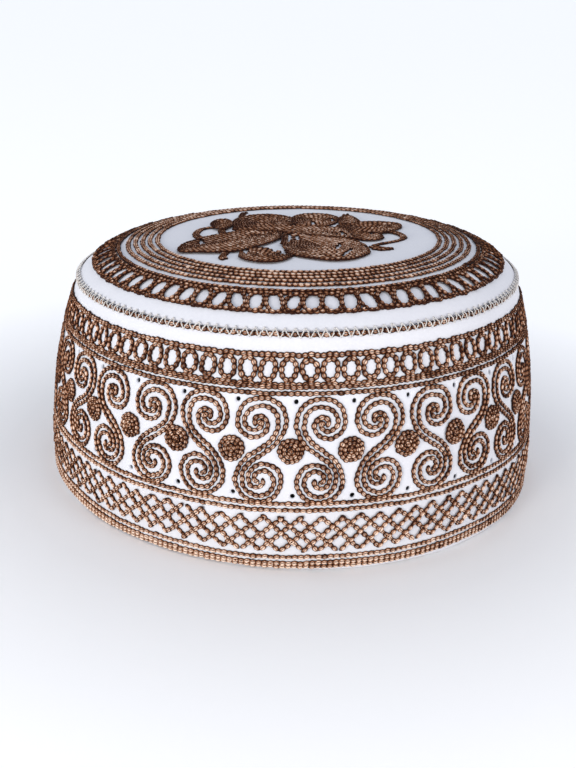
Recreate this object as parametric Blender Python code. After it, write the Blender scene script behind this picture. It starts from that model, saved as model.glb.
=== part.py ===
"""Soft embroidered prayer cap: a tall side band, a low domed crown and the chain seam that joins them.

Metres, +Z up. The origin is the middle of the rim's plane, the front is at -Y, and turns are
measured about Z from the front towards +X.
"""

from math import atan2, pi, radians, sin, tau

import bmesh
import bpy
from mathutils import Matrix, Vector

# Outline of the cap
HEM_RADIUS = 0.0924
SEAM_RADIUS = 0.0811
SEAM_HEIGHT = 0.0761
CROWN_RISE = 0.0114
BAND_POWER = 2.5
CROWN_POWER = 7.0

# Cloth and the joints between its pieces
BAND_THICKNESS = 0.0020
CROWN_THICKNESS = 0.0018
HEM_ROUNDING = 0.0005
JOINT_GAP = 0.0003
SEAM_WIDTH = 0.0024
SEAM_THICKNESS = 0.0008

# How the soft cap has settled out of true
HEM_OVAL = 0.0009
RIGHT_RISE = 0.0027
FRONT_RISE = 0.0015

# Eyelets pierced above and below each scroll
SCROLL_COUNT = 30
EYELET_RADIUS = 0.00065
FIRST_EYELET_TURN = radians(0.8)

COLUMNS_PER_SCROLL = 3
COLUMN_COUNT = SCROLL_COUNT * COLUMNS_PER_SCROLL
COLUMN_ANGLE = tau / COLUMN_COUNT
EYELET_CELL = HEM_RADIUS * COLUMN_ANGLE

# Heights as shares of SEAM_HEIGHT: the rings of eyelets, and the plain rows of the band
EYELET_ROWS = (0.731, 0.338)
PLAIN_ROWS = (0.93, 0.86, 0.53, 0.14)

# Radii of the crown's rows, as shares of SEAM_RADIUS
CROWN_ROWS = (0.15, 0.45, 0.64, 0.76, 0.85, 0.915, 0.965)

# Cross-section of the seam's chain, from its edge on the band to its edge on the crown: how far
# each point lies along the cloth, as a share of half SEAM_WIDTH, and how high it stands over the
# gap, as a share of SEAM_THICKNESS
SEAM_SECTION = (
    (-1.0, 0.0),
    (-0.72, 0.75),
    (0.0, 1.0),
    (0.72, 0.75),
    (1.0, 0.0),
    (0.0, 0.0),
)

COTTON_WHITE = (0.83, 0.82, 0.83)
THREAD_BROWN = (0.20, 0.10, 0.055)


def band_point(share):
    """The band's outer face at a share of the seam's height, in the XZ plane."""
    flare = (HEM_RADIUS - SEAM_RADIUS) * share**BAND_POWER
    return Vector((HEM_RADIUS - flare, 0, SEAM_HEIGHT * share))


def crown_point(share):
    """The crown's outer face at a share of the seam's radius, in the XZ plane."""
    return Vector((SEAM_RADIUS * share, 0, SEAM_HEIGHT + CROWN_RISE * (1 - share**CROWN_POWER)))


def band_direction():
    """The way the band runs down from the seam."""
    slope = BAND_POWER * (HEM_RADIUS - SEAM_RADIUS) / SEAM_HEIGHT
    return Vector((slope, 0, -1)).normalized()


def crown_direction():
    """The way the crown runs in from the seam."""
    slope = CROWN_POWER * CROWN_RISE / SEAM_RADIUS
    return Vector((-1, 0, slope)).normalized()


def outward(way):
    """The outer side of a way that runs out from the crown's middle and then down the band."""
    return Vector((-way.z, 0, way.x))


def seam_normal():
    """The outward direction that splits the corner of crown and band evenly."""
    return (outward(-crown_direction()) + outward(band_direction())).normalized()


def seam_depth(thickness):
    """From the outer edge at the seam straight through a cloth of this thickness."""
    return seam_normal() * -thickness / seam_normal().dot(outward(band_direction()))


def inner_face(outer, thickness):
    """The outer face's points moved in by the cloth's thickness, in the same order."""
    around = [outer[0], *outer, outer[-1]]
    inner = []
    for before, point, after in zip(around, outer, around[2:]):
        inner.append(point - outward((after - before).normalized()) * thickness)
    return inner


def spun(bm, section, closed):
    """Turns a section in the XZ plane right round Z, with a column centred on the first eyelet."""
    start = Matrix.Rotation(FIRST_EYELET_TURN - COLUMN_ANGLE / 2 - pi / 2, 3, "Z")
    verts = [bm.verts.new(start @ point) for point in section]
    ends = zip(verts, verts[1:] + verts[:1]) if closed else zip(verts, verts[1:])
    edges = [bm.edges.new(pair) for pair in ends]
    bmesh.ops.spin(
        bm,
        geom=verts + edges,
        cent=(0, 0, 0),
        axis=(0, 0, 1),
        angle=tau,
        steps=COLUMN_COUNT,
        use_merge=True,
    )
    bmesh.ops.remove_doubles(bm, verts=bm.verts, dist=1e-7)


def settle(bm):
    """Makes the rim a little oval and tips the crown, as the soft cap stands."""
    for vert in bm.verts:
        x, y, z = vert.co
        lowness = max(0.0, 1 - z / SEAM_HEIGHT)
        turn = atan2(x, -y)
        stretch = 1 + lowness * HEM_OVAL / HEM_RADIUS * sin(2 * turn)
        x, y = x * stretch, y * stretch
        tip = (RIGHT_RISE * x - FRONT_RISE * y) / SEAM_RADIUS
        vert.co = (x, y, z + z / SEAM_HEIGHT * tip)


def finish(bm, name, material):
    """The settled mesh as a smooth object with its faces pointing out."""
    settle(bm)
    bmesh.ops.recalc_face_normals(bm, faces=bm.faces)
    mesh = bpy.data.meshes.new(name)
    bm.to_mesh(mesh)
    bm.free()
    mesh.shade_smooth()
    mesh.set_sharp_from_angle(angle=radians(35))
    mesh.materials.append(material)
    obj = bpy.data.objects.new(name, mesh)
    bpy.context.scene.collection.objects.link(obj)
    return obj


def make_material(name, colour, roughness):
    material = bpy.data.materials.new(name)
    material.use_nodes = True
    shader = material.node_tree.nodes["Principled BSDF"]
    shader.inputs["Base Color"].default_value = (*colour, 1)
    shader.inputs["Roughness"].default_value = roughness
    shader.inputs["Metallic"].default_value = 0.0
    return material


def eyelet_pairs(bm, share):
    """The outer and inner faces where each eyelet of one ring goes."""
    pairs = {}
    for face in bm.faces:
        centre = face.calc_center_median()
        if abs(centre.z - SEAM_HEIGHT * share) > EYELET_CELL / 4:
            continue
        turn = atan2(centre.x, -centre.y) - FIRST_EYELET_TURN
        column = round(turn / COLUMN_ANGLE) % COLUMN_COUNT
        if column % COLUMNS_PER_SCROLL == 0:
            pairs.setdefault(column, []).append(face)
    return pairs.values()


def eyelet_mouth(bm, face):
    """Insets a face to a small octagon and rounds it to the eyelet's radius."""
    bmesh.ops.inset_individual(bm, faces=[face], thickness=EYELET_CELL * 0.35)
    bmesh.ops.bisect_edges(bm, edges=face.edges[:], cuts=1)
    centre = face.calc_center_median()
    for vert in face.verts:
        vert.co = centre + (vert.co - centre).normalized() * EYELET_RADIUS
    return face


def pierce(bm, pair):
    """Cuts one eyelet through the cloth."""
    mouths = [eyelet_mouth(bm, face) for face in pair]
    edges = [edge for mouth in mouths for edge in mouth.edges]
    bmesh.ops.delete(bm, geom=mouths, context="FACES_ONLY")
    bmesh.ops.bridge_loops(bm, edges=edges)


def make_side_band(material):
    """The tall wall from the rolled hem up to the seam, with its rings of eyelets."""
    half_cell = EYELET_CELL / 2 / SEAM_HEIGHT
    cell_rows = [row + side * half_cell for row in EYELET_ROWS for side in (-1, 1)]
    shares = sorted([*PLAIN_ROWS, *cell_rows, HEM_ROUNDING / SEAM_HEIGHT], reverse=True)
    outer = [band_point(1) + band_direction() * JOINT_GAP / 2]
    outer += [band_point(share) for share in shares]
    inner = inner_face(outer, BAND_THICKNESS)
    inner[0] = outer[0] + seam_depth(BAND_THICKNESS)
    hem_outside = outer[-1] + Vector((-HEM_ROUNDING, 0, -outer[-1].z))
    hem_inside = inner[-1] + Vector((HEM_ROUNDING, 0, -inner[-1].z))
    bm = bmesh.new()
    spun(bm, [*outer, hem_outside, hem_inside, *reversed(inner)], closed=True)
    for share in EYELET_ROWS:
        for pair in eyelet_pairs(bm, share):
            pierce(bm, pair)
    return finish(bm, "side_band", material)


def make_crown(material):
    """The round top, nearly flat in the middle and turned down to the seam."""
    outer = [crown_point(share) for share in (0, *CROWN_ROWS)]
    outer.append(crown_point(1) + crown_direction() * JOINT_GAP / 2)
    under = inner_face(outer, CROWN_THICKNESS)
    under[-1] = outer[-1] + seam_depth(CROWN_THICKNESS)
    bm = bmesh.new()
    spun(bm, [*outer, *reversed(under)], closed=False)
    return finish(bm, "crown", material)


def make_crown_seam(material):
    """The raised chain that lies over the joint, just clear of both cloths."""
    sides = {
        -1: (band_direction(), outward(band_direction())),
        0: (seam_normal(), seam_normal()),
        1: (crown_direction(), outward(-crown_direction())),
    }
    section = []
    for along, height in SEAM_SECTION:
        way, normal = sides[(along > 0) - (along < 0)]
        lift = JOINT_GAP + height * SEAM_THICKNESS
        section.append(band_point(1) + way * abs(along) * SEAM_WIDTH / 2 + normal * lift)
    bm = bmesh.new()
    spun(bm, section, closed=True)
    return finish(bm, "crown_seam", material)


def main():
    for obj in list(bpy.data.objects):
        bpy.data.objects.remove(obj)
    make_side_band(make_material("side_band_cotton", COTTON_WHITE, 0.9))
    make_crown(make_material("crown_cotton", COTTON_WHITE, 0.9))
    make_crown_seam(make_material("seam_thread", THREAD_BROWN, 0.6))


main()
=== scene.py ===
"""Dresses the prayer cap: white cotton crown and side band, the overcast seam and the brown chain stitch.

Everything is in metres. Turns are measured about Z from the front (-Y) towards +X, in radians, and drops
are lengths of cloth below the crown's seam. Only the listed charts are in degrees and millimetres.
"""

import bmesh
import bpy
import numpy as np
from mathutils import Matrix, Vector, noise


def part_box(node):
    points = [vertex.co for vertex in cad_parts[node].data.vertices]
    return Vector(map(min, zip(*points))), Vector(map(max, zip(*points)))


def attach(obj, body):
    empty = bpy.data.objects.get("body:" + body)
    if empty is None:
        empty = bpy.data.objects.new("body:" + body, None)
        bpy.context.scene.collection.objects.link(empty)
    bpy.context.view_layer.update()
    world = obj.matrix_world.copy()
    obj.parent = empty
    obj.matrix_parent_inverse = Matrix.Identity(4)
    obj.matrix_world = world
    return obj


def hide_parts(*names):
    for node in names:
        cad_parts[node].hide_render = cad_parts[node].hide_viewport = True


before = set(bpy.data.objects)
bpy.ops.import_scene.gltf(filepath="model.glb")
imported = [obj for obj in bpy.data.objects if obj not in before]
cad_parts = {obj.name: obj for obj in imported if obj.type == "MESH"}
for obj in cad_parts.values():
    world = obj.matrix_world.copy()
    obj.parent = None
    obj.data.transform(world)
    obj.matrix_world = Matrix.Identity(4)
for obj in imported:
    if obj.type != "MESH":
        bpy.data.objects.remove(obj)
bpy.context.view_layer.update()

bl_info = {
    "name": "Prayer cap dresser",
    "version": (1, 0, 0),
    "blender": (4, 5, 0),
    "location": "3D View > Sidebar > Prayer cap",
    "description": "Makes the cloth, the seam and the chain stitch of an embroidered prayer cap",
    "category": "Object",
}

MM = 0.001
BAND_LOW, BAND_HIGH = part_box("side_band")
CROWN_LOW, CROWN_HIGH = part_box("crown")
HEM_RADIUS = (BAND_HIGH[0] - BAND_LOW[0]) / 2
SEAM_RADIUS = (CROWN_HIGH[0] - CROWN_LOW[0]) / 2
SCROLL_COUNT = 30
SCROLL_TURN = 2 * np.pi / SCROLL_COUNT
FIRST_EYELET_TURN = np.radians(0.8)
FIRST_DOT_TURN = np.radians(0.15)
FIRST_SCROLL_TURN = np.radians(6.1)
EYELET_DROPS = (21.4 * MM, 51.7 * MM)

# A scroll's two chains from the diagonal into its spirals: degrees turned, then the radius in
# millimetres of the outer and inner chain in the upper spiral and in the lower one
SPIRAL_CHART = (
    (0, 8.4, 6.5, 8.3, 6.4),
    (55, 7.95, 5.45, 7.4, 5.1),
    (100, 7.9, 5.5, 6.9, 4.8),
    (145, 7.5, 5.0, 6.8, 4.9),
    (190, 7.8, 5.2, 7.1, 5.0),
    (235, 7.5, 5.3, 7.4, 5.1),
    (270, 6.8, 4.2, 7.1, 4.7),
    (300, 5.5, 2.9, 6.3, 4.1),
    (330, 4.4, 1.8, 5.3, 3.2),
    (365, 3.1, 0.9, 4.3, 2.2),
    (415, 2.2, 0.6, 3.2, 1.2),
    (475, 1.9, 0.5, 2.4, 0.5),
    (535, 2.1, 0.5, 2.0, 0.6),
    (580, 2.4, 0.9, 2.0, 0.6),
    (625, 2.0, 1.0, 1.8, 0.3),
)
UPPER_SPIRAL_DROP = 27.6 * MM
LOWER_SPIRAL_DROP = 46.6 * MM
UPPER_SPIRAL_START = 235
LOWER_SPIRAL_START = 55
DOT_DROP = 36.6 * MM
DOT_RADIUS = 4.5 * MM

# The lowest drop of a chain's middle that stays on the cloth
LOWEST_DROP = 76.2 * MM

# How far round each closed line starts for each metre of its drop or radius, so that its loops
# don't line up with those of the lines beside it
STAGGER = 2.4 / MM

# The hand's sway in millimetres at a drop of 55 mm, and its waves in a full turn
SWAY_DROP = 55
BROAD_SWAY, BROAD_WAVES, BROAD_START = 0.55, 3, np.radians(9)
SMALL_SWAY, SMALL_WAVES = 0.12, 11

# A chain loop before it is shaped, and its shape in shares of a stitch
RING_RADIUS = 0.5
THREAD_SIDES = 3
LOOP_STEPS = 8
NARROWEST = 0.80
LOOP_MIDDLE, LOOP_HALF_LENGTH = 0.47, 0.55

# How much the tone differs from stitch to stitch, and how many times the plies wind round a loop
TONE_SPREAD = 0.14
PLIES_ROUND_LOOP = 9

# The step over which slopes and normals are measured, the weave, and the columns of the cloth's meshes
PROBE = 0.1 * MM
WEAVE_PITCH = 0.42 * MM
COLUMNS_PER_SCROLL = 3
CROWN_COLUMNS = 72

# Outlines in the crown's medallion, in millimetres to the right of its centre and behind it
PETALS = {
    "back_left": (
        (-25, 11.5), (-26, 23), (-22, 32.5), (-13, 36.5), (-5, 32.5), (-2, 25), (-4, 13.5), (-14, 4),
        (-22, 2),
    ),
    "back": ((-3, 24), (-2, 32.5), (3, 37.5), (11, 36.5), (16, 29.5), (14, 19), (7, 11.5), (0, 13.5)),
    "back_bud": ((16, 19), (16, 27.5), (19, 35.5), (23, 27.5), (24, 19), (20, 14.5)),
    "right": ((14, 13.5), (20, 19), (27, 22), (37, 21), (40, 15.5), (36, 6), (28, 1), (18, 3)),
    "right_knot": ((18, 2), (26, 4), (31, 0), (31, -6.5), (27, -10.5), (21, -8.5), (17, -4)),
    "front_right": (
        (-5, 1), (4, -1), (12, -5), (20, -10.5), (24, -18), (25, -28.5), (20, -37), (12, -40),
        (4, -37), (-2, -32.5), (-6, -22), (-6, -10.5),
    ),
    "front": (
        (-20, -28.5), (-20, -36.5), (-14, -42), (-7, -42), (-2, -35.5), (-3, -29.5), (-8, -25), (-15, -23),
    ),
    "left_leaf": (
        (-42, -27.5), (-42, -19), (-35, -7.5), (-27, 0), (-18, 6), (-8, 6), (-6, -4), (-9, -12.5),
        (-15, -21), (-21, -27.5), (-30, -29.5), (-38, -28.5),
    ),
    "middle": (
        (-26, 6), (-16, 10.5), (-4, 12.5), (6, 12.5), (16, 8.5), (21, 0), (20, -7.5), (10, -5.5), (2, -2),
        (-8, 3), (-16, 4),
    ),
    "left_bud": ((-34, 14.5), (-33, 22), (-30, 25), (-27, 22), (-26, 13.5), (-28, 6), (-31, 7.5)),
}
TENDRILS = (
    ((-30, 11.5), (-34, 11.5), (-38, 6), (-38, -2), (-35, -8.5)),
    ((-29, 9.5), (-29, 4), (-27, -1)),
    ((33, 6), (37, 3), (39, -3), (37, -8.5), (31, -13.5), (27, -17)),
    ((26, -19), (29, -21), (33, -22)),
    ((27, -21), (30, -23), (33, -21)),
    ((-25, -28.5), (-26, -33.5), (-25, -37)),
    ((-23, 32.5), (-23, 37.5), (-22, 41)),
    ((19, 33.5), (19, 38)),
)

# Bare slits in the medallion, from end to end, in the same millimetres, and how near to a slit's
# line a stitch's middle may lie before it is left out
SLIT_CLEARANCE = 0.95
SLITS = (
    ((-3, -1), (-3.5, -14)),
    ((0, -3), (-0.5, -11)),
    ((15.5, -15), (13.5, -24)),
    ((18.5, -25), (16, -33)),
    ((16, 2), (17, -2)),
    ((27, 3), (27, 0)),
    ((5, 21), (5, 17)),
    ((12.5, 28), (13.5, 24)),
    ((-21, 12), (-19.5, 9)),
    ((-2.5, 9), (-2.5, 6)),
    ((-35.5, -10), (-34.5, -17)),
    ((-18.5, -26), (-18, -31)),
    ((-9, -23), (-8, -28)),
    ((-6, -18), (-5, -31)),
)


class CapShape(bpy.types.PropertyGroup):
    """Sizes of the cap's cloth."""

    seam_height: bpy.props.FloatProperty(
        name="Seam height", description="Height of the crown's seam over the rim",
        default=0.0761, unit="LENGTH",
    )
    crown_rise: bpy.props.FloatProperty(
        name="Crown rise", description="Height of the crown's middle over its seam",
        default=0.0114, unit="LENGTH",
    )
    band_power: bpy.props.FloatProperty(
        name="Band curve", description="How late the band turns in towards the seam", default=2.5
    )
    crown_power: bpy.props.FloatProperty(
        name="Crown curve", description="How late the crown turns down to the seam", default=7.0
    )
    thickness: bpy.props.FloatProperty(
        name="Cloth thickness", description="Thickness of the band and the crown",
        default=0.0018, unit="LENGTH",
    )
    hem_oval: bpy.props.FloatProperty(
        name="Oval", description="How far the rim is out of round", default=0.0009, unit="LENGTH"
    )
    right_rise: bpy.props.FloatProperty(
        name="Right rise", description="How much higher the seam stands at the right",
        default=0.0027, unit="LENGTH",
    )
    front_rise: bpy.props.FloatProperty(
        name="Front rise", description="How much higher the seam stands at the front",
        default=0.0015, unit="LENGTH",
    )
    eyelet_radius: bpy.props.FloatProperty(
        name="Eyelet radius", description="Radius of each pierced eyelet", default=0.0006, unit="LENGTH"
    )


class ThreadSizes(bpy.types.PropertyGroup):
    """Sizes of the chain stitch."""

    stitch_length: bpy.props.FloatProperty(
        name="Stitch length", description="Distance from one chain loop to the next",
        default=0.00192, unit="LENGTH",
    )
    stitch_width: bpy.props.FloatProperty(
        name="Stitch width", description="Width over both strands of a chain loop",
        default=0.00178, unit="LENGTH",
    )
    thread_radius: bpy.props.FloatProperty(
        name="Thread radius", description="Radius of the brown thread", default=0.00041, unit="LENGTH"
    )
    overcast_radius: bpy.props.FloatProperty(
        name="Overcast radius", description="Radius of the white thread over the seam",
        default=0.00015, unit="LENGTH",
    )
    looseness: bpy.props.FloatProperty(
        name="Looseness", description="How unevenly the stitches lie, as a share of their size",
        default=0.07,
    )


class CapColours(bpy.types.PropertyGroup):
    """Colours of the cloth and the threads, with their painted shade and highlights."""

    cotton: bpy.props.FloatVectorProperty(
        name="Cotton", description="White cotton cloth", subtype="COLOR", default=(0.78, 0.785, 0.82)
    )
    # Painted shade: the bluish cotton between the weave's threads, also the low end of the cloth's uneven
    # tone.
    painted_shade_cotton: bpy.props.FloatVectorProperty(
        name="Cotton shade", description="Cotton between the threads of the weave", subtype="COLOR",
        default=(0.62, 0.63, 0.69),
    )
    # Painted shade: the thread's darkest colour, for the outer sides of its loops, the ends where loops
    # cross, and its darkest tones.
    painted_shade_brown: bpy.props.FloatVectorProperty(
        name="Dark brown", description="Brown thread in its folds", subtype="COLOR",
        default=(0.028, 0.006, 0.002),
    )
    brown: bpy.props.FloatVectorProperty(
        name="Brown", description="Brown thread", subtype="COLOR", default=(0.33, 0.13, 0.055)
    )
    # Painted highlight: the thread's palest colour, for the inner sides of its loops and its palest tones.
    painted_highlight_brown: bpy.props.FloatVectorProperty(
        name="Light brown", description="Brown thread on its crests", subtype="COLOR",
        default=(0.95, 0.74, 0.60),
    )
    white_thread: bpy.props.FloatVectorProperty(
        name="White thread", description="Overcasting thread", subtype="COLOR",
        default=(0.80, 0.77, 0.74),
    )


def shape():
    return bpy.context.scene.cap_shape


def thread():
    return bpy.context.scene.cap_thread


def colours():
    return bpy.context.scene.cap_colours


class Value:
    """A number that changes over a surface, so that shader maths reads as Python."""

    def __init__(self, finish, socket):
        self.finish = finish
        self.socket = socket

    def maths(self, operation, first, second=0.0):
        return self.finish.node("ShaderNodeMath", {"operation": operation}, {0: first, 1: second})

    def __add__(self, other):
        return self.maths("ADD", self, other)

    __radd__ = __add__

    def __sub__(self, other):
        return self.maths("SUBTRACT", self, other)

    def __mul__(self, other):
        return self.maths("MULTIPLY", self, other)

    __rmul__ = __mul__

    def sine(self):
        return self.maths("SINE", self)


class Finish:
    """A procedural material around one Principled shader."""

    def __init__(self, name):
        self.material = bpy.data.materials.new(name)
        self.material.use_nodes = True
        self.tree = self.material.node_tree
        self.shader = self.tree.nodes["Principled BSDF"]

    def plug(self, socket, value):
        if isinstance(value, Value):
            self.tree.links.new(value.socket, socket)
        else:
            socket.default_value = value

    def node(self, kind, settings=None, sockets=None, output=0):
        made = self.tree.nodes.new(kind)
        for key, value in (settings or {}).items():
            setattr(made, key, value)
        for key, value in (sockets or {}).items():
            self.plug(made.inputs[key], value)
        return Value(self, made.outputs[output])

    def mix(self, factor, first, second):
        """A colour between two colours."""
        sockets = {0: factor, 6: first, 7: second}
        return self.node("ShaderNodeMix", {"data_type": "RGBA"}, sockets, output=2)

    def cloud(self, place, scale, detail=2.0):
        return self.node("ShaderNodeTexNoise", {}, {"Vector": place, "Scale": scale, "Detail": detail})

    def bump(self, height, distance, strength=1.0):
        return self.node("ShaderNodeBump", {}, {"Height": height, "Distance": distance, "Strength": strength})

    def set(self, **sockets):
        for key, value in sockets.items():
            self.plug(self.shader.inputs[key.replace("_", " ")], value)
        return self.material


def rgba(colour):
    return (*colour, 1.0)


def rgb_share(colour, share):
    return tuple(part * share for part in colour)


def cotton_finish(name):
    """Plain woven cotton: threads over and under with painted shade between them, a little uneven, with a
    soft nap.
    """
    finish = Finish(name)
    cloth = finish.node("ShaderNodeUVMap", {"uv_map": "cloth"})
    split = finish.node("ShaderNodeSeparateXYZ", {}, {0: cloth})
    across = split
    along = Value(finish, split.socket.node.outputs[1])
    phase_per_metre = 2 * np.pi / WEAVE_PITCH
    weave = (across * phase_per_metre).sine() * (along * phase_per_metre).sine()
    slub = finish.cloud(cloth, 900, 3.0)
    soft = finish.cloud(cloth, 60)
    # The weave paints shade between its threads; the slub and soft clouds vary the cotton's own tone.
    shade = 0.5 + 0.25 * weave + 0.5 * (slub - 0.5) + 0.35 * (soft - 0.5)
    paint = colours()
    return finish.set(
        Base_Color=finish.mix(shade, rgba(paint.painted_shade_cotton), rgba(paint.cotton)),
        Roughness=0.85 + 0.1 * slub,
        Normal=finish.bump(weave * 0.5 + slub, 0.05 * MM, 0.5),
        Sheen_Weight=0.15,
        Sheen_Roughness=0.5,
    )


def thread_finish(name, shade_colour, middle, light):
    """Twisted thread: each loop has its own tone, with painted shade where it is pinched and on its outer
    side, and a painted highlight on its inner side.
    """
    finish = Finish(name)
    loop = finish.node("ShaderNodeUVMap", {"uv_map": "thread"})
    split = finish.node("ShaderNodeSeparateXYZ", {}, {0: loop})
    inward = Value(finish, split.socket.node.outputs[1])
    plies = (split * (2 * np.pi * PLIES_ROUND_LOOP) + inward * np.pi).sine()
    pinch = (split * (4 * np.pi) + np.pi / 2).sine()
    tone = finish.node("ShaderNodeAttribute", {"attribute_name": "tone"}, output=2)
    place = finish.node("ShaderNodeTexCoord", output=3)
    wear = finish.cloud(place, 180)
    # Painted light: pinch paints shade on the two ends of each loop, where the next loop crosses it, and
    # lightens its sides; inward paints a highlight on the thread's inner side and shade on its outer side.
    # The tone, the plies and the wear cloud are the thread's own colour.
    lightness = tone + 0.08 * plies - 0.36 * pinch + 0.85 * inward + 0.5 * wear - 0.34
    # The mix runs from the painted shade colour through the thread's own colour to the painted highlight
    # colour.
    deep = finish.mix(2 * lightness, rgba(shade_colour), rgba(middle))
    return finish.set(
        Base_Color=finish.mix(2 * lightness - 1, deep, rgba(light)),
        Roughness=0.6 + 0.15 * wear,
        Normal=finish.bump(plies, 0.04 * MM, 0.6),
        Specular_IOR_Level=0.12,
    )


def band_radius(height):
    share = np.clip(height / shape().seam_height, 0, 1)
    return HEM_RADIUS - (HEM_RADIUS - SEAM_RADIUS) * share ** shape().band_power


def crown_height(radius):
    share = np.clip(radius / SEAM_RADIUS, 0, 1)
    return shape().seam_height + shape().crown_rise * (1 - share ** shape().crown_power)


def settled(turn, radius, height):
    """A point of the upright, round cap moved to where the soft cap stands."""
    sizes = shape()
    lowness = np.clip(1 - height / sizes.seam_height, 0, 1)
    radius = radius * (1 + lowness * sizes.hem_oval / HEM_RADIUS * np.sin(2 * turn))
    x = radius * np.sin(turn)
    y = -radius * np.cos(turn)
    tip = (sizes.right_rise * x - sizes.front_rise * y) / SEAM_RADIUS
    return np.stack([x, y, height + height / sizes.seam_height * tip], -1)


def band_drops():
    """Matching lists of heights and of lengths of cloth below the seam."""
    heights = np.linspace(shape().seam_height, 0, 400)
    steps = np.hypot(np.diff(heights), np.diff(band_radius(heights)))
    return heights, np.concatenate([[0], np.cumsum(steps)])


def band_section(drop, lift):
    """Radius and height at a drop down the band, lifted off the cloth."""
    heights, drops = band_drops()
    height = np.interp(drop, drops, heights)
    slope = (band_radius(height + PROBE) - band_radius(height - PROBE)) / (2 * PROBE)
    steep = np.hypot(1, slope)
    return band_radius(height) + lift / steep, height - lift * slope / steep


def on_band(chart, lift=0.0):
    """Points of the band from rows of (turn, drop)."""
    radius, height = band_section(chart[:, 1], lift)
    return settled(chart[:, 0], radius, height)


def crown_section(radius, lift):
    """Radius and height on the crown, lifted off the cloth."""
    slope = (crown_height(radius) - crown_height(radius - PROBE)) / PROBE
    steep = np.hypot(1, slope)
    return radius - lift * slope / steep, crown_height(radius) + lift / steep


def on_crown(chart, lift=0.0):
    """Points of the crown from rows of (turn, radius)."""
    radius, height = crown_section(chart[:, 1], lift)
    return settled(chart[:, 0], radius, height)


def on_crown_flat(chart, lift=0.0):
    """Points of the crown from rows of (right, back)."""
    turn = np.arctan2(chart[:, 0], -chart[:, 1])
    return on_crown(np.stack([turn, np.hypot(chart[:, 0], chart[:, 1])], -1), lift)


def on_seam(chart, lift=0.0):
    """Points by the crown's seam from rows of (turn, drop), where a negative drop is on the crown."""
    crown_share = 0.72
    turn, drop = chart[:, :1], chart[:, 1:]
    below = on_band(np.hstack([turn, np.maximum(drop, 0)]), lift)
    above = on_crown(np.hstack([turn, SEAM_RADIUS + np.minimum(drop, 0) * crown_share]), lift)
    return np.where(drop > 0, below, above)


def smooth(points, closed=False, steps=8):
    """A curve through the points, each stretch in equal steps."""
    points = np.asarray(points, float)
    if closed:
        padded = np.vstack([points[-1:], points, points[:2]])
    else:
        padded = np.vstack([2 * points[:1] - points[1:2], points, 2 * points[-1:] - points[-2:-1]])
    share = np.linspace(0, 1, steps, endpoint=False)[:, None]
    curve = []
    for before, start, end, after in zip(padded, padded[1:], padded[2:], padded[3:]):
        bend = 2 * before - 5 * start + 4 * end - after
        turnback = 3 * start - before - 3 * end + after
        curve.append(start + 0.5 * share * (end - before + share * (bend + share * turnback)))
    return np.vstack(curve) if closed else np.vstack([*curve, points[-1:]])


def wandered(chart):
    """The band's pattern as the hand guided it: it rises and falls a little, more so low down."""
    turn = chart[:, 0]
    broad = BROAD_SWAY * np.sin(BROAD_WAVES * (turn - BROAD_START))
    small = SMALL_SWAY * np.sin(SMALL_WAVES * turn)
    drop = chart[:, 1] * (1 - (broad + small) / SWAY_DROP)
    return np.stack([turn, np.minimum(drop, LOWEST_DROP)], -1)


def stitches(surface, chart, closed=False, raised=0.0, length=None):
    """Starts, reaches and normals of the stitches along a chart's path on a surface."""
    if closed:
        chart = np.vstack([chart, chart[:1]])
    if surface is on_band:
        chart = wandered(chart)
    points = surface(chart, raised)
    normals = surface(chart, raised + PROBE) - points
    along = np.concatenate([[0], np.cumsum(np.linalg.norm(np.diff(points, axis=0), axis=1))])
    count = max(1, round(along[-1] / (length or thread().stitch_length)))
    marks = np.linspace(0, along[-1], count + 1)
    middles = (marks[1:] + marks[:-1]) / 2
    places = np.stack([np.interp(marks, along, column) for column in points.T], -1)
    ups = np.stack([np.interp(middles, along, column) for column in normals.T], -1)
    return places[:-1], np.diff(places, axis=0), ups


def bar_stitches(surface, chart, lifts):
    """One straight stitch from each point of a closed chart to the next."""
    places = surface(chart, lifts)
    ups = surface(chart, lifts + PROBE) - places
    return places, np.roll(places, -1, axis=0) - places, ups


def with_slits(row):
    """A row of the medallion's stitches without those that would cross a slit."""
    starts, reaches, _ = row
    middles = (starts[:, :2] + reaches[:, :2] / 2) / MM
    bare = np.zeros(len(middles), bool)
    for start, end in np.array(SLITS, float):
        reach = end - start
        share = np.clip((middles - start) @ reach / (reach @ reach), 0, 1)
        bare |= np.linalg.norm(middles - start - share[:, None] * reach, axis=1) < SLIT_CLEARANCE
    return tuple(column[~bare] for column in row)


def rounded(wave, power):
    """A wave with fuller crests, which turns an oval's outline squarer."""
    return np.sign(wave) * np.abs(wave) ** power


def ring(level, count=360, scallops=0, depth=0.0, phase=0.0):
    """A closed line round the cap at one drop or radius, waved if it is scalloped."""
    own_start = STAGGER * level
    turns = own_start + np.linspace(0, 2 * np.pi, count * (2 if scallops else 1), endpoint=False)
    wave = depth * np.cos(scallops * (turns - phase)) if scallops else 0.0
    return np.stack([turns, level + wave + 0 * turns], -1)


def turn_round(bm, section, steps):
    """Spins a section's corners and edges right round Z."""
    about_z = {"cent": (0, 0, 0), "axis": (0, 0, 1), "angle": 2 * np.pi}
    bmesh.ops.spin(bm, geom=section, steps=steps, use_merge=True, **about_z)


def thread_loop():
    """One chain loop: a ring of three-sided thread, with a side flat on the cloth."""
    bm = bmesh.new()
    wire = thread().thread_radius / thread().stitch_length
    turned = Matrix.Translation((RING_RADIUS, 0, 0)) @ Matrix.Rotation(np.pi / 2, 4, "X")
    bmesh.ops.create_circle(bm, segments=THREAD_SIDES, radius=wire, matrix=turned)
    turn_round(bm, bm.verts[:] + bm.edges[:], LOOP_STEPS)
    bmesh.ops.recalc_face_normals(bm, faces=bm.faces)
    return bm


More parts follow.
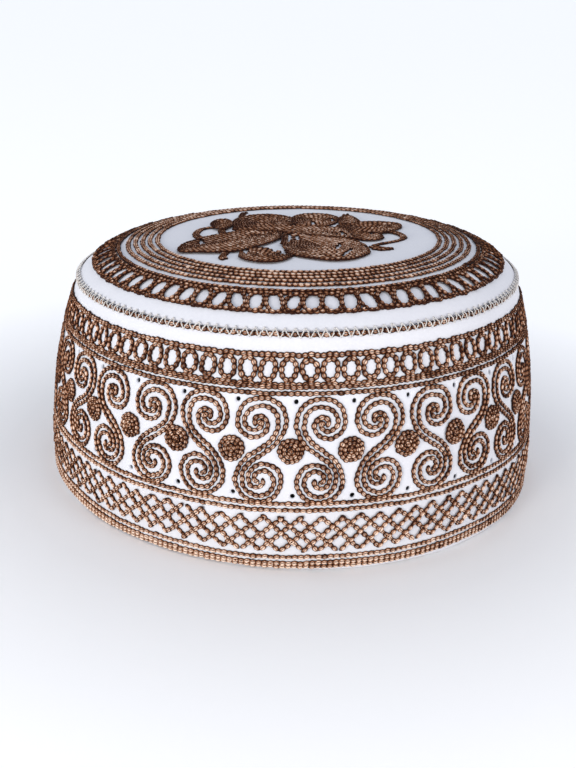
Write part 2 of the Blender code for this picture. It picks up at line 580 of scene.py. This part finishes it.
def thread_bar():
    """One straight stitch: a square thread drawn out along X, in even lengths."""
    bm = bmesh.new()
    bmesh.ops.create_cube(bm, size=1.0)
    long_edges = [edge for edge in bm.edges if abs(edge.verts[0].co.x - edge.verts[1].co.x) > 0.5]
    bmesh.ops.subdivide_edges(bm, edges=long_edges, cuts=5, use_grid_fill=True)
    return bm


def template(bm):
    """A stitch as arrays of its corners and of its four-cornered faces."""
    bm.verts.index_update()
    corners = np.array([vert.co for vert in bm.verts])
    faces = np.array([[vert.index for vert in face.verts] for face in bm.faces if len(face.verts) == 4])
    bm.free()
    return corners, faces


def loop_shape(corners):
    """The ring of thread pulled into a chain loop: along it in shares of a stitch, the rest in metres.

    Also how far round the loop each corner lies, and how far inward in shares of the thread's radius.
    """
    length, width = thread().stitch_length, thread().stitch_width
    wire = thread().thread_radius
    flatness, tilt, lift = 0.9, 0.09 * MM, 0.45 * wire
    sideways_reach = np.cos(np.pi / 6)
    spread = (np.hypot(corners[:, 0], corners[:, 1]) - RING_RADIUS) / sideways_reach
    angle = np.arctan2(corners[:, 1], corners[:, 0])
    forward, aside = np.cos(angle), np.sin(angle)
    pinch = NARROWEST + (1 - NARROWEST) * np.sin((forward + 1) * np.pi / 2)
    along = LOOP_MIDDLE + LOOP_HALF_LENGTH * forward + spread * forward
    across = (0.5 * width - wire) * aside * pinch + spread * aside * length
    height = corners[:, 2] * length * flatness - tilt * forward + lift
    inward = -spread * length / wire
    return np.stack([along, across, height], -1), angle / (2 * np.pi), inward


def bar_shape(corners):
    """The square bar as a thin thread that runs a little past both its ends."""
    overrun = 1.05
    along = corners[:, 0] * overrun + 0.5
    wire = thread().overcast_radius * np.sqrt(2)
    turned = np.stack([corners[:, 1] - corners[:, 2], corners[:, 1] + corners[:, 2]], -1) * wire
    return np.column_stack([along, turned]), along, 0 * along


def for_stitches(value, rows):
    """A value for each stitch, from one number or from one for each row."""
    return np.repeat(np.broadcast_to(value, len(rows)), [len(row[0]) for row in rows])


def place_stitches(corners, rows, widen, loose, rng):
    """Every stitch's corners: along its reach, sideways, and up from the cloth."""
    starts, reaches, ups = (np.vstack(column) for column in zip(*rows))
    count = len(starts)
    lengths = np.linalg.norm(reaches, axis=1, keepdims=True)
    ahead = reaches / lengths
    side = np.cross(ups, ahead)
    side /= np.linalg.norm(side, axis=1, keepdims=True)
    up = np.cross(ahead, side)
    shift = 0.4 * thread().stitch_width
    yaw = rng.normal(0, loose, (count, 1))
    ahead, side = ahead + side * yaw, side - ahead * yaw
    starts = starts + side * rng.normal(0, loose, (count, 1)) * shift
    starts = starts + up * np.abs(rng.normal(0, loose, (count, 1))) * shift
    wide = for_stitches(widen, rows)[:, None, None] * (1 + rng.normal(0, loose, (count, 1, 1)))
    return (
        starts[:, None]
        + corners[None, :, :1] * (ahead * lengths)[:, None]
        + corners[None, :, 1:2] * side[:, None] * wide
        + corners[None, :, 2:] * up[:, None]
    )


def sew(name, rows, material, seed, widen=1.0, tone=0.5, unruly=1.0, stitch=None):
    """Joins a chain loop, or another stitch, for each stretch of all the rows into one piece."""
    rng = np.random.default_rng(seed)
    make, shaped = stitch or (thread_loop, loop_shape)
    plain_corners, faces = template(make())
    corners, around, inward = shaped(plain_corners)
    points = place_stitches(corners, rows, widen, thread().looseness * unruly, rng)
    count = len(points)
    all_faces = (faces[None] + np.arange(count)[:, None, None] * len(corners)).reshape(-1, 4)
    piece = mesh_piece(name, points.reshape(-1, 3), all_faces)
    face_around = around[faces]
    middle = face_around[:, :1]
    face_around = middle + (face_around - middle + 0.5) % 1.0 - 0.5
    thread_uv = np.stack([face_around, inward[faces]], -1)
    layer = piece.data.uv_layers.new(name="thread")
    layer.uv.foreach_set("vector", np.tile(thread_uv.reshape(-1), count))
    tones = piece.data.attributes.new("tone", "FLOAT", "POINT")
    shades = for_stitches(tone, rows) + rng.normal(0, TONE_SPREAD, count)
    tones.data.foreach_set("value", np.repeat(shades, len(corners)))
    dress(piece, material)
    return piece


def mesh_piece(name, points, faces):
    """A piece of quads joined from arrays of corners and faces."""
    mesh = bpy.data.meshes.new(name)
    mesh.from_pydata(points.tolist(), [], faces.tolist())
    mesh.shade_smooth()
    piece = bpy.data.objects.new(name, mesh)
    bpy.context.scene.collection.objects.link(piece)
    return piece


def dress(piece, material):
    piece.data.materials.append(material)
    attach(piece, "root")


def brown_thread():
    found = bpy.data.materials.get("brown_chain_thread")
    paint = colours()
    return found or thread_finish("brown_chain_thread", paint.painted_shade_brown, paint.brown, paint.painted_highlight_brown)


def spun(bm, section, columns, start, closed):
    """Turns a section of (radius, height) right round Z from a starting turn."""
    turned = Matrix.Rotation(start - np.pi / 2, 3, "Z")
    verts = [bm.verts.new(turned @ Vector((radius, 0, height))) for radius, height in section]
    ends = zip(verts, verts[1:] + verts[:1]) if closed else zip(verts, verts[1:])
    edges = [bm.edges.new(pair) for pair in ends]
    turn_round(bm, verts + edges, columns)
    bmesh.ops.remove_doubles(bm, verts=bm.verts, dist=1e-7)


def settle(bm):
    for vert in bm.verts:
        turn = np.arctan2(vert.co.x, -vert.co.y)
        vert.co = settled(turn, np.hypot(vert.co.x, vert.co.y), np.float64(vert.co.z))


def cloth_piece(bm, name, levels, charted):
    """A settled, subdivided shell of cloth with its weave charted on it."""
    settle(bm)
    bmesh.ops.recalc_face_normals(bm, faces=bm.faces)
    mesh = bpy.data.meshes.new(name)
    bm.to_mesh(mesh)
    bm.free()
    piece = bpy.data.objects.new(name, mesh)
    bpy.context.scene.collection.objects.link(piece)
    round_off = piece.modifiers.new("round_off", "SUBSURF")
    round_off.levels = levels
    round_off.render_levels = levels
    graph = bpy.context.evaluated_depsgraph_get()
    finished = bpy.data.meshes.new_from_object(piece.evaluated_get(graph))
    piece.modifiers.clear()
    piece.data = finished
    bm = bmesh.new()
    bm.from_mesh(finished)
    bm.normal_update()
    ripple(bm)
    weave = bm.loops.layers.uv.new("cloth")
    for face in bm.faces:
        for loop, place in zip(face.loops, charted(face)):
            loop[weave].uv = place
    bm.to_mesh(finished)
    bm.free()
    finished.shade_smooth()
    return piece


def ripple(bm):
    """Soft unevenness of cloth that is stretched between lines of stitching."""
    depth = 0.12 * MM
    broad, fine = 70, 210
    for vert in bm.verts:
        wave = noise.noise(vert.co * broad) + 0.5 * noise.noise(vert.co * fine)
        vert.co -= vert.normal * depth * (0.75 + wave)


def band_chart(face):
    """Length round the band and height up it for each corner of a face."""
    middle = face.calc_center_median()
    centre = np.arctan2(middle.x, -middle.y)
    for vert in face.verts:
        turn = np.arctan2(vert.co.x, -vert.co.y)
        turn = centre + (turn - centre + np.pi) % (2 * np.pi) - np.pi
        yield (turn * HEM_RADIUS, vert.co.z)


def crown_chart(face):
    for vert in face.verts:
        yield (vert.co.x, vert.co.y)


def eyelet_mouth(bm, face, cell):
    """Insets a face to a small octagon and rounds it to the eyelet's radius."""
    outer_inset, inner_inset = cell * 0.28, cell * 0.1
    bmesh.ops.inset_individual(bm, faces=[face], thickness=outer_inset)
    bmesh.ops.bisect_edges(bm, edges=face.edges[:], cuts=1)
    bmesh.ops.inset_individual(bm, faces=[face], thickness=inner_inset)
    centre = face.calc_center_median()
    for vert in face.verts:
        vert.co = centre + (vert.co - centre).normalized() * shape().eyelet_radius
    return face


def pierce(bm, faces, cell):
    mouths = [eyelet_mouth(bm, face, cell) for face in faces]
    edges = [edge for mouth in mouths for edge in mouth.edges]
    bmesh.ops.delete(bm, geom=mouths, context="FACES_ONLY")
    bmesh.ops.bridge_loops(bm, edges=edges)


def eyelet_faces(bm, drop, columns, cell):
    """The outer and inner faces of one ring of eyelets, by column."""
    height = band_section(drop, 0)[1]
    pairs = {}
    for face in bm.faces:
        centre = face.calc_center_median()
        turn = np.arctan2(centre.x, -centre.y) - FIRST_EYELET_TURN
        column = round(turn * columns / (2 * np.pi)) % columns
        if abs(centre.z - height) < cell / 4 and column % (columns // SCROLL_COUNT) == 0:
            pairs.setdefault(column, []).append(face)
    return pairs.values()


class CAP_OT_side_band(bpy.types.Operator):
    """Makes the side band's cloth, with its rounded hem and its two rings of eyelets"""

    bl_idname = "cap.side_band"
    bl_label = "Side band"

    def execute(self, context):
        columns = SCROLL_COUNT * COLUMNS_PER_SCROLL
        cell = 2 * np.pi * HEM_RADIUS / columns
        length = band_drops()[1][-1]
        cells = [drop + side * cell / 2 for drop in EYELET_DROPS for side in (-1, 1)]
        plain = [drop * MM for drop in (0.15, 1.2, 4, 8, 13, 30, 37, 43, 61, 69)]
        drops = np.array(sorted([*plain, *cells, length - 1.6 * MM, length - 0.6 * MM]))
        hem_inset = 0.4 * MM
        outer = list(zip(*band_section(drops, 0.0)))
        inner = list(zip(*band_section(drops, -shape().thickness)))
        hem = [(outer[-1][0] - hem_inset, 0.0), (inner[-1][0] + hem_inset, 0.0)]
        bm = bmesh.new()
        start = FIRST_EYELET_TURN - np.pi / columns
        spun(bm, [*outer, *hem, *reversed(inner)], columns, start, closed=True)
        for drop in EYELET_DROPS:
            for faces in eyelet_faces(bm, drop, columns, cell):
                pierce(bm, faces, cell)
        piece = cloth_piece(bm, "band_cloth", 2, band_chart)
        dress(piece, cotton_finish("band_cotton"))
        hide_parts("side_band")
        return {"FINISHED"}


class CAP_OT_crown(bpy.types.Operator):
    """Makes the crown's cloth, nearly flat in the middle and turned down to the seam"""

    bl_idname = "cap.crown"
    bl_label = "Crown"

    def execute(self, context):
        shares = np.array([0.0, 0.12, 0.3, 0.48, 0.62, 0.73, 0.81, 0.87, 0.92, 0.957, 0.985, 0.998])
        outer = list(zip(*crown_section(shares * SEAM_RADIUS, 0.0)))
        under = list(zip(*crown_section(shares * SEAM_RADIUS, -shape().thickness)))
        outer[0] = (0.0, outer[0][1])
        under[0] = (0.0, under[0][1])
        bm = bmesh.new()
        spun(bm, [*outer, *reversed(under)], CROWN_COLUMNS, 0.0, closed=False)
        piece = cloth_piece(bm, "crown_cloth", 2, crown_chart)
        dress(piece, cotton_finish("crown_cotton"))
        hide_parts("crown")
        return {"FINISHED"}


class CAP_OT_crown_seam(bpy.types.Operator):
    """Sews the brown chain over the joint of crown and band, and overcasts it in white"""

    bl_idname = "cap.crown_seam"
    bl_label = "Crown seam"

    def execute(self, context):
        rows = [stitches(on_seam, ring(0.95 * MM), closed=True, raised=0.05 * MM)]
        piece = sew("seam_chain", rows, brown_thread(), seed=1, tone=0.2)
        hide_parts("crown_seam")
        count = 164
        marks = np.arange(4 * count)
        drops = np.array([-1.0, 0.5, 2.0, 0.5]) * MM
        lifts = np.array([0.2, 0.75, 0.3, 0.75]) * MM
        zigzag = np.stack([marks * np.pi / (2 * count), drops[marks % 4]], -1)
        # Painted shade and highlight: darker copies of the white thread serve as its painted shade, the white
        # itself as its painted highlight.
        shades = [rgb_share(colours().white_thread, share) for share in (0.55, 0.8, 1.0)]
        white = thread_finish("white_overcast_thread", *shades)
        bars = [bar_stitches(on_seam, zigzag, lifts[marks % 4])]
        sew("seam_overcast", bars, white, seed=12, tone=0.8, stitch=(thread_bar, bar_shape))
        return {"FINISHED"}


class CAP_OT_oval_ring(bpy.types.Operator):
    """Embroiders the ring of chain ovals below the seam, between its scalloped and plain lines"""

    bl_idname = "cap.oval_ring"
    bl_label = "Ring of ovals"

    def execute(self, context):
        count = 83
        first = np.radians(-1.0)
        girth_radius = 86 * MM
        middle, half_width, half_height = 11.5 * MM, 2.45 * MM, 3.5 * MM
        angle = np.linspace(0, 2 * np.pi, 24, endpoint=False)
        rows = [
            stitches(on_band, ring(7.1 * MM, scallops=count, depth=-0.25 * MM, phase=first), closed=True),
            stitches(on_band, ring(15.9 * MM, scallops=count, depth=-0.45 * MM, phase=first), closed=True),
            stitches(on_band, ring(16.8 * MM), closed=True, raised=0.1 * MM),
            stitches(on_band, ring(18.8 * MM), closed=True),
        ]
        uneven = np.random.default_rng(23)
        for index in range(count):
            lean, wide, long = uneven.normal((0, 1, 1), (0.06, 0.05, 0.04))
            across = half_width * wide * np.sin(angle)
            upwards = half_height * long * np.cos(angle)
            turn = first + 2 * np.pi * index / count + (across + lean * upwards) / girth_radius
            drop = middle - upwards
            rows.append(stitches(on_band, np.stack([turn, drop], -1), closed=True, raised=0.05 * MM))
        widths = [1.15, 1.0, 1.0, 1.0] + [1.12] * count
        sew("oval_ring", rows, brown_thread(), seed=2, widen=widths, tone=0.22)
        return {"FINISHED"}


def scroll_paths(middle, hand):
    """The two chains of one scroll as (turn, drop) rows. Hand is 1 for an S and -1 for its mirror."""
    table = np.array(SPIRAL_CHART, float)
    upper_angle = np.radians(UPPER_SPIRAL_START - table[:, 0])
    lower_angle = np.radians(LOWER_SPIRAL_START - table[:, 0])

    def spiral(angle, radius, drop):
        across = radius * MM * np.cos(angle) / band_section(drop, 0)[0]
        return np.stack([middle + hand * across, drop - radius * MM * np.sin(angle)], -1)

    outer_up = spiral(upper_angle, table[:, 1], UPPER_SPIRAL_DROP)
    inner_up = spiral(upper_angle, table[:, 2], UPPER_SPIRAL_DROP)
    outer_down = spiral(lower_angle, table[:, 3], LOWER_SPIRAL_DROP)
    inner_down = spiral(lower_angle, table[:, 4], LOWER_SPIRAL_DROP)
    yield smooth(np.vstack([outer_up[::-1], inner_down]))
    yield smooth(np.vstack([inner_up[::-1], outer_down]))


class CAP_OT_scrolls(bpy.types.Operator):
    """Embroiders the double-chain scrolls, each S beside its mirror image"""

    bl_idname = "cap.scrolls"
    bl_label = "Scrolls"

    def execute(self, context):
        spread = 0.25 * MM
        hand_drawn = np.random.default_rng(20)
        for hand, name in ((1, "scrolls"), (-1, "mirrored_scrolls")):
            first = FIRST_SCROLL_TURN + (0 if hand == 1 else SCROLL_TURN)
            rows = []
            for index in range(SCROLL_COUNT // 2):
                astray = hand_drawn.normal(0, spread, 2) / (HEM_RADIUS, 1)
                for path in scroll_paths(first + 2 * SCROLL_TURN * index, hand):
                    rows.append(stitches(on_band, path + astray))
            sew(name, rows, brown_thread(), seed=3 + hand, tone=0.31)
        return {"FINISHED"}


class CAP_OT_dots(bpy.types.Operator):
    """Embroiders the wound dots between the scrolls"""

    bl_idname = "cap.dots"
    bl_label = "Dots"

    def execute(self, context):
        rows = []
        outer = DOT_RADIUS - thread().stitch_width / 2
        girth = band_section(DOT_DROP, 0)[0]
        wind_shares = (1.0, 0.64, 0.28)
        for index in range(SCROLL_COUNT):
            for share in wind_shares:
                angle = np.linspace(0, 2 * np.pi, 20, endpoint=False) + index
                turn = FIRST_DOT_TURN + SCROLL_TURN * index + outer * share * np.cos(angle) / girth
                drop = DOT_DROP + outer * share * np.sin(angle)
                path = np.stack([turn, drop], -1)
                rows.append(stitches(on_band, path, closed=True, raised=0.1 * MM, length=1.5 * MM))
        sew("dots", rows, brown_thread(), seed=5, tone=0.2, unruly=1.5)
        return {"FINISHED"}


class CAP_OT_lattice(bpy.types.Operator):
    """Embroiders the lattice of crossing chains and the double line above it"""

    bl_idname = "cap.lattice"
    bl_label = "Lattice"

    def execute(self, context):
        lines = [stitches(on_band, ring(drop * MM), closed=True) for drop in (53.9, 56.1)]
        sew("lattice_lines", lines, brown_thread(), seed=6, tone=0.48)
        peaks = SCROLL_COUNT * 3
        pitch = 2 * np.pi / peaks
        first = np.radians(-1.4)
        top, bottom = 58.4 * MM, 70.0 * MM
        sideways, up_and_down = 0.3 * MM, 0.25 * MM
        uneven = np.random.default_rng(21)
        rows = []
        for index in range(peaks):
            for lean, raised in ((1, 0.0), (-1, 0.3 * MM)):
                share = np.linspace(-1, 1, 12)
                bend, slip = uneven.normal(0, sideways, 2)
                turns = first + pitch * (index + lean * share) + (bend * share**2 + slip) / HEM_RADIUS
                drops = np.linspace(top, bottom, 12) + uneven.normal(0, up_and_down)
                rows.append(stitches(on_band, np.stack([turns, drops], -1), raised=raised))
        sew("lattice", rows, brown_thread(), seed=7, tone=0.48)
        return {"FINISHED"}


class CAP_OT_rim_lines(bpy.types.Operator):
    """Embroiders the chain lines just above the rim"""

    bl_idname = "cap.rim_lines"
    bl_label = "Rim lines"

    def execute(self, context):
        rows = [stitches(on_band, ring(drop * MM), closed=True) for drop in (72.4, 74.5, 75.8)]
        sew("rim_lines", rows, brown_thread(), seed=8, tone=0.6)
        return {"FINISHED"}


class CAP_OT_crown_rings(bpy.types.Operator):
    """Embroiders the five chain rings round the crown's white field"""

    bl_idname = "cap.crown_rings"
    bl_label = "Crown rings"

    def execute(self, context):
        radii = np.linspace(52.3, 63.0, 5) * MM
        rows = [stitches(on_crown, ring(radius), closed=True) for radius in radii]
        sew("crown_rings", rows, brown_thread(), seed=9, widen=1.1, tone=0.45)
        return {"FINISHED"}


class CAP_OT_crown_ovals(bpy.types.Operator):
    """Embroiders the ring of ovals round the crown, between its inner and outer lines"""

    bl_idname = "cap.crown_ovals"
    bl_label = "Crown ovals"

    def execute(self, context):
        count = 76
        first = np.radians(-0.75)
        middle, half_width, half_length = 71.9 * MM, 2.8 * MM, 3.7 * MM
        girth_radius = 72 * MM
        angle = np.linspace(0, 2 * np.pi, 24, endpoint=False)
        rows = [
            stitches(on_crown, ring(66.5 * MM), closed=True),
            stitches(on_crown, ring(68.2 * MM, scallops=count, depth=0.25 * MM, phase=first), closed=True),
            stitches(on_crown, ring(75.5 * MM, scallops=count, depth=0.15 * MM, phase=first), closed=True),
        ]
        across = rounded(np.sin(angle), 0.8) * half_width / girth_radius
        outwards = rounded(np.cos(angle), 0.9) * half_length
        uneven = np.random.default_rng(22)
        for index in range(count):
            lean, wide, long = uneven.normal((0, 1, 1), (0.12, 0.06, 0.05))
            turn = first + 2 * np.pi * index / count + across * wide + lean * outwards / girth_radius
            path = np.stack([turn, middle + outwards * long], -1)
            rows.append(stitches(on_crown, path, closed=True, raised=(0.1 + 0.2 * (index % 2)) * MM))
        sew("crown_ovals", rows, brown_thread(), seed=10, tone=0.12)
        return {"FINISHED"}


class CAP_OT_medallion(bpy.types.Operator):
    """Embroiders the flower in the middle of the crown, filled with rows of chain"""

    bl_idname = "cap.medallion"
    bl_label = "Medallion"

    def execute(self, context):
        rows, tones = [], []
        pitch, half_gap = 1.3, 0.6
        outline_tone, tendril_tone = 0.02, 0.15
        layer_step, outline_step = 0.05 * MM, 0.1 * MM
        for layer, outline in enumerate(PETALS.values()):
            outline = np.array(outline, float)
            centre = outline.mean(axis=0)
            reach = np.linalg.norm(outline - centre, axis=1).mean()
            winds = max(2, round(reach / pitch))
            for wind in range(winds):
                path = smooth(centre + (outline - centre) * (winds - wind - 0.5) / winds, closed=True)
                raised = layer_step * layer + (outline_step if wind == 0 else 0)
                rows.append(with_slits(stitches(on_crown_flat, path * MM, closed=True, raised=raised)))
                tones.append(outline_tone if wind == 0 else 0.2 + 0.06 * (layer % 3))
        for points in TENDRILS:
            for side in (-half_gap, half_gap):
                rows.append(stitches(on_crown_flat, (smooth(points) + (side, side)) * MM))
                tones.append(tendril_tone)
        sew("medallion", rows, brown_thread(), seed=11, tone=tones)
        return {"FINISHED"}


class CAP_OT_stage(bpy.types.Operator):
    """Sets the camera, the pale floor and the soft lights"""

    bl_idname = "cap.stage"
    bl_label = "Stage"

    def execute(self, context):
        place_camera()
        place_floor()
        place_lights()
        return {"FINISHED"}


def place_camera():
    """The photograph's view: a long lens, looking a little down at the front."""
    elevation = np.radians(22.12)
    roll = np.radians(-2.375)
    distance, right_shift, up_shift = 0.4228, -0.0016, 0.0253
    back = Vector((0, -np.cos(elevation), np.sin(elevation)))
    right = Vector((1, 0, 0))
    up = Vector((0, np.sin(elevation), np.cos(elevation)))
    camera = bpy.data.cameras.new("camera")
    camera.sensor_width = 36.0
    camera.lens = 48.9
    camera.clip_start = 0.01
    holder = bpy.data.objects.new("camera", camera)
    rolled_right = right * np.cos(roll) - up * np.sin(roll)
    rolled_up = right * np.sin(roll) + up * np.cos(roll)
    holder.matrix_world = Matrix((rolled_right, rolled_up, back)).transposed().to_4x4()
    holder.location = back * distance + right * right_shift + up * up_shift
    bpy.context.scene.collection.objects.link(holder)
    bpy.context.scene.camera = holder


def place_floor():
    """A white floor with a painted glow, which fades out near the cap, so that the floor is darker round it,
    where its soft shadow falls.
    """
    half_side, glow_strength, gradient_scale = 30.0, 0.28, 4.5
    mesh = bpy.data.meshes.new("floor")
    bm = bmesh.new()
    bmesh.ops.create_grid(bm, x_segments=1, y_segments=1, size=half_side)
    bm.to_mesh(mesh)
    bm.free()
    floor = bpy.data.objects.new("floor", mesh)
    bpy.context.scene.collection.objects.link(floor)
    finish = Finish("floor_paint")
    place = finish.node("ShaderNodeTexCoord", output=3)
    patches = finish.cloud(place, 4)
    white = rgba((0.93, 0.93, 0.93))
    spread = finish.node("ShaderNodeVectorMath", {"operation": "SCALE"}, {0: place, "Scale": gradient_scale})
    # Painted light: the floor glows white away from the cap, and the glow fades out towards the cap.
    nearness = finish.node("ShaderNodeTexGradient", {"gradient_type": "SPHERICAL"}, {0: spread}, output=1)
    glow = finish.mix(2 * nearness, white, rgba((0, 0, 0)))
    finish.set(Base_Color=white, Roughness=0.8 + 0.1 * patches)
    mesh.materials.append(finish.set(Emission_Color=glow, Emission_Strength=glow_strength))


def place_light(name, spot, size, power, colour):
    light = bpy.data.lights.new(name, "AREA")
    light.shape = "DISK"
    light.size = size
    light.energy = power
    light.color = colour
    holder = bpy.data.objects.new(name, light)
    holder.location = spot
    holder.rotation_euler = (Vector(spot) - Vector((0, 0, 0.04))).to_track_quat("Z", "Y").to_euler()
    bpy.context.scene.collection.objects.link(holder)


def place_lights():
    place_light("key_light", (-0.75, -1.1, 0.25), 0.5, 9.2, (1.0, 0.95, 0.88))
    place_light("fill_light", (1.1, -0.9, 0.25), 0.8, 6.0, (1.0, 0.89, 0.79))
    bpy.context.scene.view_settings.view_transform = "Standard"
    world = bpy.data.worlds.new("studio")
    world.use_nodes = True
    background = world.node_tree.nodes["Background"]
    background.inputs["Color"].default_value = (0.86, 0.905, 1.0, 1)
    background.inputs["Strength"].default_value = 0.82
    bpy.context.scene.world = world


OPERATORS = (
    CAP_OT_side_band,
    CAP_OT_crown,
    CAP_OT_crown_seam,
    CAP_OT_oval_ring,
    CAP_OT_scrolls,
    CAP_OT_dots,
    CAP_OT_lattice,
    CAP_OT_rim_lines,
    CAP_OT_crown_rings,
    CAP_OT_crown_ovals,
    CAP_OT_medallion,
    CAP_OT_stage,
)


class CAP_PT_dresser(bpy.types.Panel):
    """Lists the cap's sizes, colours and makers"""

    bl_idname = "CAP_PT_dresser"
    bl_label = "Prayer cap"
    bl_space_type = "VIEW_3D"
    bl_region_type = "UI"
    bl_category = "Prayer cap"

    def draw(self, context):
        for group in (shape(), thread(), colours()):
            box = self.layout.box()
            for name in group.__annotations__:
                box.prop(group, name)
        for operator in OPERATORS:
            self.layout.operator(operator.bl_idname)


GROUPS = {"cap_shape": CapShape, "cap_thread": ThreadSizes, "cap_colours": CapColours}


def register():
    for name, group in GROUPS.items():
        bpy.utils.register_class(group)
        setattr(bpy.types.Scene, name, bpy.props.PointerProperty(type=group))
    for made in (*OPERATORS, CAP_PT_dresser):
        bpy.utils.register_class(made)


def unregister():
    for made in (CAP_PT_dresser, *reversed(OPERATORS)):
        bpy.utils.unregister_class(made)
    for name, group in GROUPS.items():
        delattr(bpy.types.Scene, name)
        bpy.utils.unregister_class(group)


def main():
    register()
    for operator in OPERATORS:
        group, name = operator.bl_idname.split(".")
        getattr(getattr(bpy.ops, group), name)()


if __name__ == "__main__":
    main()
